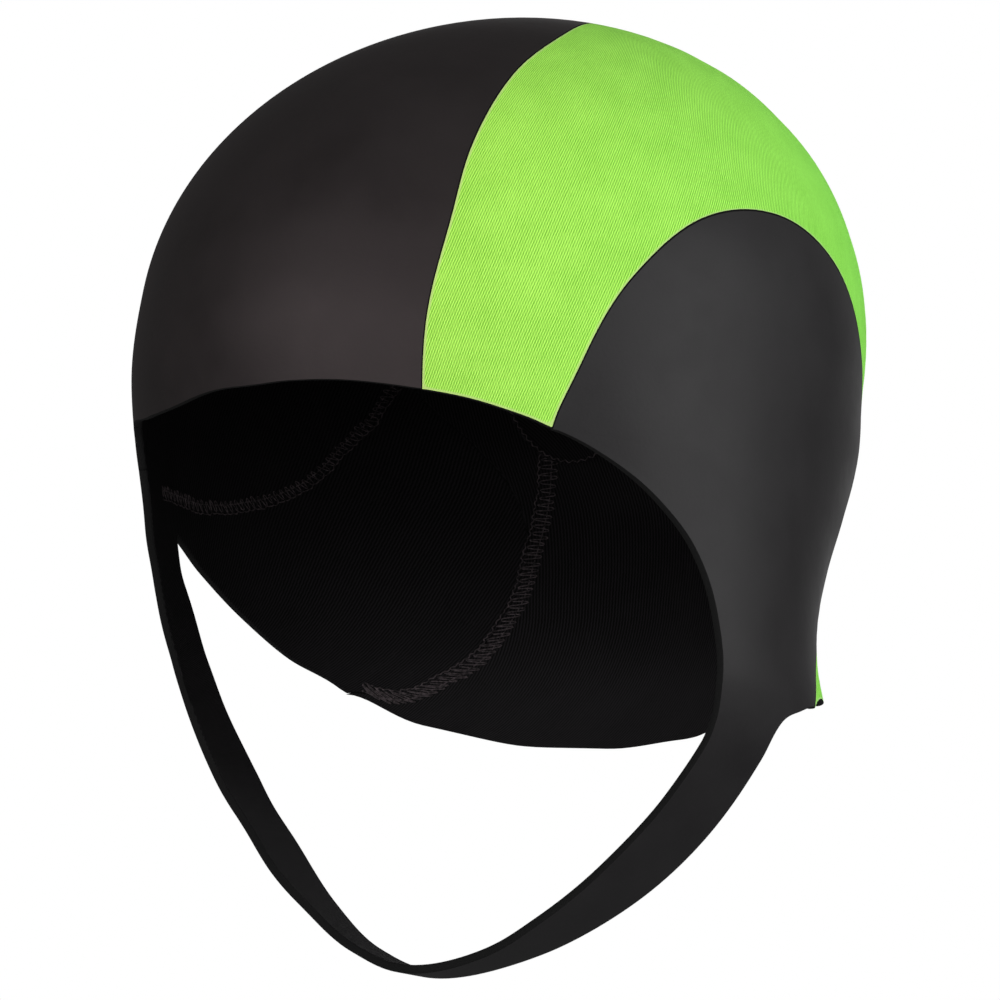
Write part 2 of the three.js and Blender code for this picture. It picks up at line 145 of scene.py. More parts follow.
ARCH_ROWS = (3, 5)  # rows of EAR_SEAM at both ends of the arch round the peak
BROW_EDGE = [
    Place(0.0, 111.9),
    Pair(11.0, 111.7, 15.0, 112.75),
    Pair(22.0, 111.9, 28.5, 112.4),
    FRONT_SEAM_FOOT,
    Pair(42.5, 114.3, 45.6, 112.4),
    EAR_SEAM_START,
]
BROW_SEAM_ROW = BROW_EDGE.index(FRONT_SEAM_FOOT)
NAPE_EDGE = [
    NAPE,
    Pair(168.0, 143.4, 165.0, 146.5),
    Pair(150.0, 143.1, 148.0, 146.5),
    Pair(128.0, 145.4, 131.0, 144.5),
    EAR_SEAM_END,
]
LEFT_FACE_EDGE = [
    EAR_SEAM_START,
    Place(60.0, 119.9),
    Place(68.5, 124.9),
    Place(75.0, 130.8),
    Place(79.2, 138.2),
    Place(80.6, 145.6),
    Place(79.6, 152.5),
    Place(77.2, 158.5),
    Place(72.6, 170.0),
    Place(69.0, 184.0),
    Place(68.8, 198.0),
    Place(71.6, 210.0),
    STRAP_FACE_MIDDLE,
]
LEFT_REAR_EDGE = [
    EAR_SEAM_END,
    Place(102.5, 150.6),
    Place(95.2, 153.6),
    Place(90.2, 159.2),
    Place(85.6, 170.0),
    Place(82.1, 184.0),
    Place(80.2, 198.0),
    Place(79.8, 210.0),
    STRAP_REAR_MIDDLE,
]
RIGHT_FACE_EDGE = [
    EAR_SEAM_START,
    Place(47.4, 120.6),
    Place(52.4, 125.4),
    Place(60.0, 130.0),
    Place(66.2, 135.8),
    Place(73.2, 143.0),
    Place(77.4, 150.0),
    Place(77.2, 158.6),
    Place(73.2, 169.0),
    Place(69.4, 182.0),
    Place(72.2, 195.5),
    Place(73.6, 209.0),
    STRAP_FACE_MIDDLE,
]
RIGHT_REAR_EDGE = [
    EAR_SEAM_END,
    Place(104.5, 136.6),
    Place(92.0, 131.4),
    Place(79.6, 126.3),
    Place(67.4, 122.1),
    Place(68.2, 123.6),
    Place(69.4, 125.8),
    Place(70.6, 127.6),
    Place(72.2, 129.2),
    Place(75.2, 131.8),
    Place(82.0, 139.6),
    Place(88.9, 149.8),
    Place(90.0, 158.5),
    Place(86.6, 169.0),
    Place(83.2, 183.0),
    Place(81.6, 196.0),
    Place(81.0, 210.0),
    STRAP_REAR_MIDDLE,
]
RIGHT_FORK = 4  # row of RIGHT_REAR_EDGE where the lower edge turns down along the strap
# The front part of the ear seam faces the rear line: each stretch, told by two rows of
# EAR_SEAM, reaches across to this many rows of it.
Stretch = namedtuple("Stretch", "from_row to_row rear_rows")
LEFT_STRETCHES = [Stretch(3, 0, 4)]
RIGHT_STRETCHES = [Stretch(3, 1, 12), Stretch(1, 0, 1)]

# Round patch on the inner face, in degrees on the chart
PATCH_MIDDLE = Vector((-42.0, 62.0))
PATCH_RADIUS = 19.5
PATCH_THREAD_RADIUS = 0.985 * PATCH_RADIUS  # where the thread round its edge lies
# In millimetres
PATCH_GAP = 0.05  # between the lining and the patch
PATCH_BULGE = 0.25  # of its cut edge
PATCH_ZIGZAG = 0.35  # of the thread to each side

# Seams of the lining on the inner face, for both sides alike: one runs from the face edge up to
# the patch, the other from the patch down to the lower edge.
LINING_SEAM_FRONT = [
    Place(60.8, 117.2),
    Place(68.5, 116.2),
    Place(75.8, 115.8),
    Place(83.5, 114.2),
    Place(90.0, 112.0),
    Place(94.8, 109.8),
    Place(99.5, 106.5),
    Place(102.8, 102.8),
    Place(105.0, 99.2),
    Place(107.8, 95.2),
    Place(110.5, 91.8),
    Place(113.0, 85.5),
    Place(118.0, 78.0),
    Place(126.0, 71.0),
    Place(133.0, 67.0),
]
LINING_SEAM_REAR = [
    Place(142.0, 84.0),
    Place(142.5, 93.2),
    Place(142.5, 96.4),
    Place(142.7, 102.1),
    Place(143.4, 109.2),
    Place(144.1, 115.0),
    Place(145.1, 121.0),
    Place(144.5, 126.1),
    Place(142.9, 131.4),
    Place(140.0, 134.4),
    Place(136.1, 136.9),
    Place(131.6, 139.3),
    Place(127.1, 140.6),
    Place(122.8, 140.5),
    Place(119.6, 139.9),
]

# Fineness of the meshes

STEPS = 10  # between two rows of a table
FRONT_COLUMNS = 44
CROWN_COLUMNS = 40
PATCH_RINGS = 14
PATCH_SPOKES = 120
BEND_FADE = 6  # how fast the bend of a panel's end rows dies away along it
NORMAL_STEP = 0.05  # degrees
SAME_PLACE = 0.001  # corners closer than this are one, mm
THREAD_SIDES = 5
EDGE_PRESS = 0.62  # bulge of a cut edge as a share of the seam groove, so that two meet

# How the knitted ribs are pulled askew low down on the head: sideways, in millimetres, by shear
# times that power of the length below a level
Askew = namedtuple("Askew", "shear power from_down")
JERSEY_ASKEW = Askew(0.005, 2, GIRTH_DOWN)
LINING_ASKEW = Askew(-0.0007, 3, 121.0)
CLOTH_ROUND = 88.0  # mean radius of the cap at the girth, mm


def hermite(a, b, slope_a, slope_b, length, t):
    """The value between a and b at share t of a run of that length."""
    t2 = t * t
    t3 = t2 * t
    return ((2 * t3 - 3 * t2 + 1) * a + (t3 - 2 * t2 + t) * length * slope_a
            + (3 * t2 - 2 * t3) * b + (t3 - t2) * length * slope_b)


def row_slope(row, column):
    """How fast a column of SECTIONS changes at a row, per degree of down."""
    if row == 0:
        return GIRTH_SLOPES[column]
    if row == len(SECTIONS) - 1:
        return END_SLOPES[column]
    before, after = SECTIONS[row - 1], SECTIONS[row + 1]
    return (getattr(after, column) - getattr(before, column)) / (after.down - before.down)


def section_at(down):
    """The level section of the form at an angle down from the crown."""
    if down <= GIRTH_DOWN:
        angle = math.radians(down)
        girth = SECTIONS[0]
        rise = CROWN_RISE * math.cos(angle)
        share = rise / LEAN_SPAN
        middle = CROWN_LEAN * share + CROWN_LEAN_BEND * share * share
        reach = math.sin(angle)
        return Section(down, girth.side * reach, girth.front * reach, girth.back * reach,
                       middle, GIRTH_HEIGHT + rise)
    row = 0
    while row < len(SECTIONS) - 2 and SECTIONS[row + 1].down < down:
        row += 1
    a, b = SECTIONS[row], SECTIONS[row + 1]
    length = b.down - a.down
    share = (down - a.down) / length
    values = [hermite(getattr(a, column), getattr(b, column),
                      row_slope(row, column), row_slope(row + 1, column), length, share)
              for column in ("side", "front", "back", "middle", "up")]
    return Section(down, *values)


def chart_point(around, down, side):
    """A place on the chart of the cap laid flat."""
    angle = math.radians(around) * side
    return Vector((down * math.sin(angle), -down * math.cos(angle)))


def angles_of(point, side):
    """The two angles of a chart place, on one side of the cap."""
    around = math.degrees(math.atan2(point.x, -point.y)) * side
    if around < -HALF_TURN / 2:
        around += 2 * HALF_TURN
    return Vector((around, point.length))


def skin_point(x, y):
    """The place in the cloth's outer face that belongs to a chart place, in metres."""
    down = math.hypot(x, y)
    section = section_at(down)
    sine = x / down if down > 0 else 0.0
    cosine = -y / down if down > 0 else 1.0
    reach = section.front if cosine > 0 else section.back
    return Vector((section.side * sine, section.middle - reach * cosine, section.up)) * MM


def skin_normal(x, y):
    """The outward direction there."""
    along_x = skin_point(x + NORMAL_STEP, y) - skin_point(x - NORMAL_STEP, y)
    along_y = skin_point(x, y + NORMAL_STEP) - skin_point(x, y - NORMAL_STEP)
    return along_x.cross(along_y).normalized()


def catmull_rom(p0, p1, p2, p3, t):
    """The point at share t between p1 and p2 of a smooth run."""
    return 0.5 * (2 * p1 + (p2 - p0) * t + (2 * p0 - 5 * p1 + 4 * p2 - p3) * (t * t)
                  + (3 * p1 - p0 - 3 * p2 + p3) * (t * t * t))


def smooth_run(points, corners=(), start_before=None, end_after=None):
    """A smooth run through chart points, STEPS samples between each two, sharp at corner rows."""
    last = len(points) - 1
    run = []
    for row in range(last):
        start, end = points[row], points[row + 1]
        before = after = None
        if row > 0 and row not in corners:
            before = points[row - 1]
        elif row == 0:
            before = start_before
        if row + 1 < last and row + 1 not in corners:
            after = points[row + 2]
        elif row + 1 == last:
            after = end_after
        p0 = 2 * start - end if before is None else before
        p3 = 2 * end - start if after is None else after
        run += [catmull_rom(p0, start, end, p3, step / STEPS) for step in range(STEPS)]
    run.append(points[last].copy())
    return run


def beside_seam(run, turn, gap):
    """A seam's samples moved sideways by half the gap, to the left or right of its direction."""
    moved = []
    for index, point in enumerate(run):
        ahead = run[min(index + 1, len(run) - 1)]
        behind = run[max(index - 1, 0)]
        across = Vector((behind.y - ahead.y, ahead.x - behind.x)).normalized()
        moved.append(point + across * (turn * gap / (2 * MM_PER_DEGREE)))
    return moved


def resample(run, count):
    """The run cut into count equal steps of its samples."""
    samples = []
    for index in range(count + 1):
        place = index / count * (len(run) - 1)
        low = min(int(place), len(run) - 2)
        samples.append(run[low].lerp(run[low + 1], place - low))
    return samples


def ruled_rows(from_edge, to_edge, columns, first_row=None, last_row=None):
    """Rows from one edge to the other. A curved end row bends the rows near it."""
    last = len(from_edge) - 1
    rows = []
    for row, (start, end) in enumerate(zip(from_edge, to_edge)):
        share = row / last
        line = []
        for column in range(columns + 1):
            across = column / columns
            point = start.lerp(end, across)
            if first_row:
                straight = from_edge[0].lerp(to_edge[0], across)
                point += (first_row[column] - straight) * (1 - share) ** BEND_FADE
            if last_row:
                straight = from_edge[last].lerp(to_edge[last], across)
                point += (last_row[column] - straight) * share ** BEND_FADE
            line.append(point)
        rows.append(line)
    return rows


def turned_rows(from_edge, to_edge, columns, side, first_row=None, last_row=None):
    """The same for one side of the cap, with rows that run evenly in its two angles."""
    edges = [run and [angles_of(point, side) for point in run]
             for run in (from_edge, to_edge, first_row, last_row)]
    rows = ruled_rows(edges[0], edges[1], columns, edges[2], edges[3])
    return [[chart_point(point.x, point.y, side) for point in row] for row in rows]


def chart_points(table, side):
    """The chart places of a table's rows, on one side of the cap."""
    points = []
    for row in table:
        if isinstance(row, Place):
            around, down = row
        elif side == LEFT:
            around, down = row.left_around, row.left_down
        else:
            around, down = row.right_around, row.right_down
        points.append(chart_point(around, down, side))
    return points


# Outlines of the panels

def front_seam_runs(turn, gap):
    """The front seam's right and left half, each from the brow edge to the tip behind the crown."""
    left = chart_points(FRONT_SEAM, LEFT)[::-1]
    right = chart_points(FRONT_SEAM, RIGHT)[:-1]
    run = beside_seam(smooth_run(right + left), -turn, gap)
    tip = (len(run) - 1) // 2
    return run[:tip + 1], run[tip:][::-1]


def ear_seam_run(side):
    """The seam round an ear panel, from the temple over the peak to the nape."""
    return smooth_run(chart_points(EAR_SEAM, side))


def brow_part(from_row, to_row):
    """Part of the brow edge between two of its rows, counted from the middle of the forehead."""
    right = chart_points(BROW_EDGE[1:], RIGHT)[::-1]
    run = smooth_run(right + chart_points(BROW_EDGE, LEFT))
    middle = len(BROW_EDGE) - 1
    return run[(middle + from_row) * STEPS:(middle + to_row) * STEPS + 1]


def front_panel_rows(gap):
    """Rows of the front panel from its right seam to its left one."""
    right, left = front_seam_runs(1, gap)
    brow = brow_part(-BROW_SEAM_ROW, BROW_SEAM_ROW)
    brow[0] = right[0]
    brow[-1] = left[0]
    return ruled_rows(right, left, FRONT_COLUMNS, resample(brow, FRONT_COLUMNS))


def crown_half_rows(side, gap):
    """Rows of one half of the crown panel from its middle line to the ear panel's seam."""
    right, left = front_seam_runs(-1, gap)
    back_line = smooth_run(chart_points(BACK_LINE, side))
    inner = (left if side == LEFT else right) + back_line[1:]
    outer = beside_seam(ear_seam_run(side), side, gap)
    temple = len(BROW_EDGE) - 1
    if side == LEFT:
        brow = brow_part(BROW_SEAM_ROW, temple)
    else:
        brow = brow_part(-temple, -BROW_SEAM_ROW)[::-1]
    brow[0] = inner[0]
    brow[-1] = outer[0]
    nape = smooth_run(chart_points(NAPE_EDGE, side),
                      start_before=chart_points(NAPE_EDGE, -side)[1])
    nape[-1] = outer[-1]
    return turned_rows(inner, outer, CROWN_COLUMNS, side,
                       resample(brow, CROWN_COLUMNS), resample(nape, CROWN_COLUMNS))


def free_edge(table, side, corners=()):
    """A free edge that runs on smoothly into the other half of the strap."""
    end, before_end = table[-1], table[-2]
    beyond = chart_point(before_end.around, 2 * end.down - before_end.down, side)
    return smooth_run(chart_points(table, side), corners=corners, end_after=beyond)


def ear_half_rows(side, gap):
    """Rows of one ear panel and its half of the strap, from the face edge to the rear one."""
    if side == LEFT:
        face, rear = free_edge(LEFT_FACE_EDGE, LEFT), free_edge(LEFT_REAR_EDGE, LEFT)
        stretches = LEFT_STRETCHES
    else:
        face = free_edge(RIGHT_FACE_EDGE, RIGHT)
        rear = free_edge(RIGHT_REAR_EDGE, RIGHT, (RIGHT_FORK,))
        stretches = RIGHT_STRETCHES
    seam = beside_seam(ear_seam_run(side), -side, gap)
    arch_start, arch_end = (row * STEPS for row in ARCH_ROWS)
    face_line = [seam[arch_start]]
    for stretch in stretches:
        part = seam[stretch.to_row * STEPS:stretch.from_row * STEPS + 1][::-1]
        face_line += resample(part, stretch.rear_rows * STEPS)[1:]
    face_line += face[1:]
    rear_line = seam[arch_end:] + rear[1:]
    columns = arch_end - arch_start
    return turned_rows(face_line, rear_line, columns, side, seam[arch_start:arch_end + 1])


def patch_rows(radius):
    """Rings of the round patch, from its middle out."""
    rows = []
    for ring in range(PATCH_RINGS + 1):
        reach = radius * ring / PATCH_RINGS
        row = []
        for spoke in range(PATCH_SPOKES + 1):
            angle = 2 * math.pi * spoke / PATCH_SPOKES
            row.append(PATCH_MIDDLE + Vector((math.cos(angle), math.sin(angle))) * reach)
        rows.append(row)
    return rows


# How the knitted faces lie: each panel's cloth laid flat, in metres

def laid_round(side, askew):
    """Flat places of cloth that runs round the head, u by the angle and v upwards."""
    def flat(point):
        angles = angles_of(point, side)
        turn = angles.x if side == LEFT else 2 * HALF_TURN - angles.x
        below = max(angles.y - askew.from_down, 0.0) * MM_PER_DEGREE
        u = math.radians(turn) * CLOTH_ROUND + askew.shear * below ** askew.power
        return u * MM, -angles.y * MM_PER_DEGREE * MM
    return flat


def laid_on_top(point):
    """Flat places of cloth that lies over the crown: those of the chart."""
    return tuple(point * (MM_PER_DEGREE * MM))


# Meshes

class ClothPanel:
    """A panel of cloth in the making: its outer and inner faces and its rounded cut edge."""

    OUTER, INNER, FOAM = range(3)
    RIM_LAYERS = (FOAM, FOAM, FOAM, FOAM, FOAM, INNER)  # from the outer face to the inner one

    def __init__(self, outer_depth, inner_depth, bulge):
        self.outer_depth = outer_depth
        self.inner_depth = inner_depth
        self.bulge = bulge
        self.skins = []
        self.normals = []
        self.flats = []
        self.known = {}
        self.faces = []

    def corner(self, chart, flat, flat_inside):
        """The number of the corner at a chart place, with its flat places in both faces."""
        skin = skin_point(chart.x, chart.y)
        key = tuple(round(value / (SAME_PLACE * MM)) for value in skin)
        if key not in self.known:
            self.known[key] = len(self.skins)
            self.skins.append(skin)
            self.normals.append(skin_normal(chart.x, chart.y))
            self.flats.append(flat)
        return self.known[key], flat, flat_inside

    def add_rows(self, rows, turn, lay, lay_inside):
        """Adds a grid. turn is 1 where its rows run so that its faces already look outward."""
        grid = [[self.corner(chart, lay(chart), lay_inside(chart)) for chart in row]
                for row in rows]
        for row, next_row in zip(grid, grid[1:]):
            for column in range(len(row) - 1):
                ring = [row[column], row[column + 1], next_row[column + 1], next_row[column]]
                ring = [a for a, b in zip(ring, ring[1:] + ring[:1]) if a[0] != b[0]]
                if len(ring) > 2:
                    self.faces.append(ring if turn > 0 else ring[::-1])

    def open_edges(self):
        """The outline: the edges that only one face has, in that face's direction."""
        edges = {}
        for face in self.faces:
            for (a, *_), (b, *_) in zip(face, face[1:] + face[:1]):
                if (b, a) in edges:
                    del edges[(b, a)]
                else:
                    edges[(a, b)] = True
        return list(edges)

    def outward(self, edges):
        """For each corner of the outline, the direction away from the panel, along the cloth."""
        directions = {}
        for a, b in edges:
            along = (self.skins[b] - self.skins[a]).normalized()
            for corner in (a, b):
                away = along.cross(self.normals[corner]).normalized()
                directions[corner] = directions.get(corner, Vector()) + away
        return {corner: total.normalized() for corner, total in directions.items()}

    def to_object(self, name, materials):
        """Joins both faces by the rounded edge and makes the mesh object."""
        count = len(self.skins)
        points = [s - n * self.outer_depth for s, n in zip(self.skins, self.normals)]
        points += [s - n * self.inner_depth for s, n in zip(self.skins, self.normals)]
        faces, flats, kinds = [], [], []
        for face in self.faces:
            faces.append([corner for corner, _, _ in face])
            flats.append([flat for _, flat, _ in face])
            kinds.append(self.OUTER)
            faces.append([corner + count for corner, _, _ in reversed(face)])
            flats.append([flat_inside for _, _, flat_inside in reversed(face)])
            kinds.append(self.INNER)
        edges = self.open_edges()
        layers = len(self.RIM_LAYERS)
        rims = {}
        for corner, away in self.outward(edges).items():
            rim = [corner]
            for step in range(1, layers):
                turn = math.pi * step / layers
                point = points[corner].lerp(points[corner + count], (1 - math.cos(turn)) / 2)
                rim.append(len(points))
                points.append(point + away * self.bulge * math.sin(turn))
            rims[corner] = rim + [corner + count]
        for a, b in edges:
            for step, kind in enumerate(self.RIM_LAYERS):
                faces.append([rims[b][step], rims[a][step], rims[a][step + 1], rims[b][step + 1]])
                flats.append([self.flats[b], self.flats[a], self.flats[a], self.flats[b]])
                kinds.append(kind)
        panel = mesh_object(name, points, faces, materials)
        panel.data.polygons.foreach_set("material_index", kinds)
        outline = {frozenset((a + depth, b + depth)) for a, b in edges for depth in (0, count)}
        sharp = panel.data.attributes.new("sharp_edge", "BOOLEAN", "EDGE")
        for edge in panel.data.edges:
            sharp.data[edge.index].value = frozenset(edge.vertices) in outline
        tree = KDTree(2 * len(rims))
        for corner in rims:
            tree.insert(points[corner], corner)
            tree.insert(points[corner + count], corner)
        tree.balance()
        from_edge = panel.data.attributes.new("from_edge", "FLOAT", "POINT")
        from_edge.data.foreach_set("value", [tree.find(point)[2] for point in points[:2 * count]]
                                   + [0.0] * (len(points) - 2 * count))
        cloth = panel.data.uv_layers.new(name="cloth")
        cloth.data.foreach_set("uv", [value for ring in flats for flat in ring for value in flat])
        return panel


def mesh_object(name, points, faces, materials):
    """A smooth-shaded mesh object with its place in its mesh."""
    mesh = bpy.data.meshes.new(name)
    mesh.from_pydata(points, [], faces)
    for material in materials:
        mesh.materials.append(material)
    mesh.polygons.foreach_set("use_smooth", [True] * len(faces))
    mesh.update()
    piece = bpy.data.objects.new(name, mesh)
    bpy.context.scene.collection.objects.link(piece)
    return piece


class SeamLine:
    """A seam's line in the cloth, by length: places, with the cloth's face and sideways turn."""

    def __init__(self, run, depth):
        self.places = []
        self.faces = []
        for chart in run:
            face = skin_normal(chart.x, chart.y)
            self.places.append(skin_point(chart.x, chart.y) - face * depth)
            self.faces.append(face)
        self.lengths = [0.0]
        for a, b in zip(self.places, self.places[1:]):
            self.lengths.append(self.lengths[-1] + (b - a).length)
        self.length = self.lengths[-1]
        self.low = 0

    def at(self, distance, sideways, inward):
        """The place at a distance along the line, moved across it and off the face."""
        distance = min(max(distance, 0.0), self.length)
        while self.low > 0 and self.lengths[self.low] > distance:
            self.low -= 1
        while self.low < len(self.lengths) - 2 and self.lengths[self.low + 1] < distance:
            self.low += 1
        low = self.low
        share = (distance - self.lengths[low]) / (self.lengths[low + 1] - self.lengths[low])
        face = self.faces[low].lerp(self.faces[low + 1], share).normalized()
        before = self.places[max(low - 1, 0)]
        after = self.places[min(low + 2, len(self.places) - 1)]
        across = (after - before).normalized().cross(face)
        middle = self.places[low].lerp(self.places[low + 1], share)
        return middle + across * sideways - face * inward, face


class Threads:
    """Tubes of sewing thread that are joined in one mesh."""

    def __init__(self):
        self.points = []
        self.faces = []

    def add(self, path, radius, closed=False):
        """Adds a thread along a path of places and the cloth's face there."""
        first = len(self.points)
        count = len(path)
        for index, (place, face) in enumerate(path):
            if closed:
                ahead, behind = path[(index + 1) % count][0], path[index - 1][0]
            else:
                ahead, behind = path[min(index + 1, count - 1)][0], path[max(index - 1, 0)][0]
            along = (ahead - behind).normalized()
            across = along.cross(face).normalized()
            off = across.cross(along)
            for side in range(THREAD_SIDES):
                turn = 2 * math.pi * side / THREAD_SIDES
                ray = across * math.cos(turn) + off * math.sin(turn)
                self.points.append(place + ray * radius)
        rings = [[first + index * THREAD_SIDES + side for side in range(THREAD_SIDES)]
                 for index in range(count)]
        pairs = list(zip(rings, rings[1:] + rings[:1])) if closed else zip(rings, rings[1:])
        for ring, next_ring in pairs:
            for side in range(THREAD_SIDES):
                other = (side + 1) % THREAD_SIDES
                self.faces.append([ring[side], ring[other], next_ring[other], next_ring[side]])
        if not closed:
            self.faces.append(rings[0][::-1])
            self.faces.append(rings[-1])

    def to_object(self, name, material):
        """Makes the mesh object."""
        return mesh_object(name, self.points, self.faces, [material])


# The cover thread of a flatlock seam within one stitch: share of the stitch and of half the
# seam's width. It crosses the seam at a slant, turns at the edge and comes back.
Turn = namedtuple("Turn", "along across")
COVER_STITCH = [
    Turn(0.00, -0.60),
    Turn(0.10, 0.30),
    Turn(0.20, 0.92),
    Turn(0.35, 1.05),
    Turn(0.50, 0.92),
    Turn(0.60, 0.30),
    Turn(0.70, -0.60),
    Turn(0.85, -0.85),
]
# How a seam is sewn: the slant of its cover thread and how much more it slants by the seam's
# end, how deep the thread is drawn into the cloth, in thread radii, and the seam's width and how
# much narrower it is by its end, both as shares of the width in the settings
Sewing = namedtuple("Sewing", "slant more sunk width taper")
FRONT_SEWING = Sewing(0.5, 0.0, 0.3, 1.0, 0.0)
LINING_FRONT_SEWING = Sewing(0.6, 0.0, 1.2, 0.7, 0.0)
LINING_REAR_SEWING = Sewing(0.1, 3.0, 0.4, 1.05, 0.42)
CHANGE_POWER = 3  # puts the change of slant and width late in the seam
SEAM_TRIM = 2  # samples left out at both ends of the front seam's stitching
LOOP_STEPS = 6  # samples in one stitch of the looped thread and the needle thread
ZIGZAG_STEPS = 4  # samples in one stitch of the thread round the patch

# Sideways, as shares of half the seam's width
SWAY = 0.1  # of a whole stitch, at most
LOOP_REACH = 0.09
NEEDLE_LINE = 0.38
COVER_REACH = (0.86, 1.06)  # least and most width of a cover stitch

# Along the seam, as a share of a stitch
SLIP = 0.12  # of a cover stitch, at most

# Off the cloth's face, in thread radii
LOOP_LIFT = 0.8
LOOP_DIP = 0.5
NEEDLE_DIP = 1.1
COVER_LIFT = (0.7, 1.6)  # least and most
ZIGZAG_LIFT = 0.6


def flatlock(threads, line, settings, seed, sewing, turn=1):
    """Sews one flatlock seam: a looped edge thread, a needle thread and the cover thread.

    turn is 1 or -1 and says which edge of the seam the looped thread runs along.
    """
    random = Random(seed)
    radius = settings.thread_size / 2
    pitch = settings.stitch_pitch
    count = int(line.length / pitch)
    looped, needle, cover = [], [], []
    for stitch in range(count):
        start = stitch * pitch
        share = (stitch / count) ** CHANGE_POWER
        half = settings.flatlock_width / 2 * (sewing.width - sewing.taper * share)
        slant = turn * (sewing.slant + sewing.more * share)
        sway = random.uniform(-SWAY, SWAY) * half
        for step in range(LOOP_STEPS):
            phase = 2 * math.pi * step / LOOP_STEPS
            place = start + pitch * step / LOOP_STEPS
            across = turn * (-half + sway + LOOP_REACH * half * math.sin(phase))
            lift = radius * (LOOP_LIFT - sewing.sunk / 2 + LOOP_DIP * math.cos(phase))
            looped.append(line.at(place, across, lift))
            needle.append(line.at(place, turn * NEEDLE_LINE * half,
                                  radius * NEEDLE_DIP * math.cos(phase)))
        slip = random.uniform(-SLIP, SLIP)
        reach = random.uniform(*COVER_REACH)
        for corner in COVER_STITCH:
            across = turn * (corner.across * half * reach + sway)
            lift = radius * (random.uniform(*COVER_LIFT) - sewing.sunk)
            place = start + (corner.along + slip) * pitch - slant * across
            cover.append(line.at(place, across, lift))
    for path in (looped, needle, cover):
        threads.add(path, radius)


# Materials. The scale of a noise or a cell pattern is its number of grains in a millimetre.

PER_MM = (1 / MM, 1 / MM, 1 / MM)  # turns coordinates in metres to millimetres
WAVE_SPAN = 2 * math.pi / 20  # band spacing of a Wave texture of scale 1
STITCH_TURN = math.radians(-38)  # from the ribs to the lines of stitches that cross them
STITCH_SPACING = 1.04  # as a share of the rib spacing
MEAN_SHADE = 0.85  # mean sum of the jersey's patterns
EDGE_HIGHLIGHT_FULL = 0.3  # width of the painted highlight along a cut edge at its full strength, mm
EDGE_HIGHLIGHT_END = 0.6  # where the painted highlight fades out, mm
BACK_SHADE_START = -80  # place from front to back where the jersey's painted shade starts, mm
BACK_SHADE_FULL = 50  # and where the painted shade is full


def linear(sheet_colour):
    """An sRGB hex colour as linear red, green, blue and alpha."""
    channels = [int(sheet_colour[place:place + 2], 16) / 255 for place in (1, 3, 5)]
    return tuple(c / 12.92 if c <= 0.04045 else ((c + 0.055) / 1.055) ** 2.4
                 for c in channels) + (1.0,)


def add_node(tree, kind, sockets=None, **settings):
    """Adds a node with its own settings. A socket takes a value or another node's output."""
    node = tree.nodes.new(kind)
    for name, value in settings.items():
        setattr(node, name, value)
    for name, value in (sockets or {}).items():
        if isinstance(value, bpy.types.NodeSocket):
            tree.links.new(value, node.inputs[name])
        else:
            node.inputs[name].default_value = value
    return node


def new_material(name):
    """An empty node material and its tree."""
    material = bpy.data.materials.new(name)
    material.use_nodes = True
    material.node_tree.nodes.clear()
    return material, material.node_tree


def object_mm(tree):
    """Places on the object, in millimetres."""
    place = add_node(tree, "ShaderNodeTexCoord")
    in_mm = add_node(tree, "ShaderNodeMapping", {
        "Vector": place.outputs["Object"], "Scale": PER_MM})
    return in_mm.outputs["Vector"]


def finish_material(tree, sockets, height, depth):
    """Adds the bump, which is depth deep where height is 1, the shader and the output."""
    bump = add_node(tree, "ShaderNodeBump", {
        "Height": height, "Strength": 1.0, "Distance": depth})
    shader = add_node(tree, "ShaderNodeBsdfPrincipled", {
        "Normal": bump.outputs["Normal"], **sockets})
    add_node(tree, "ShaderNodeOutputMaterial", {"Surface": shader.outputs["BSDF"]})


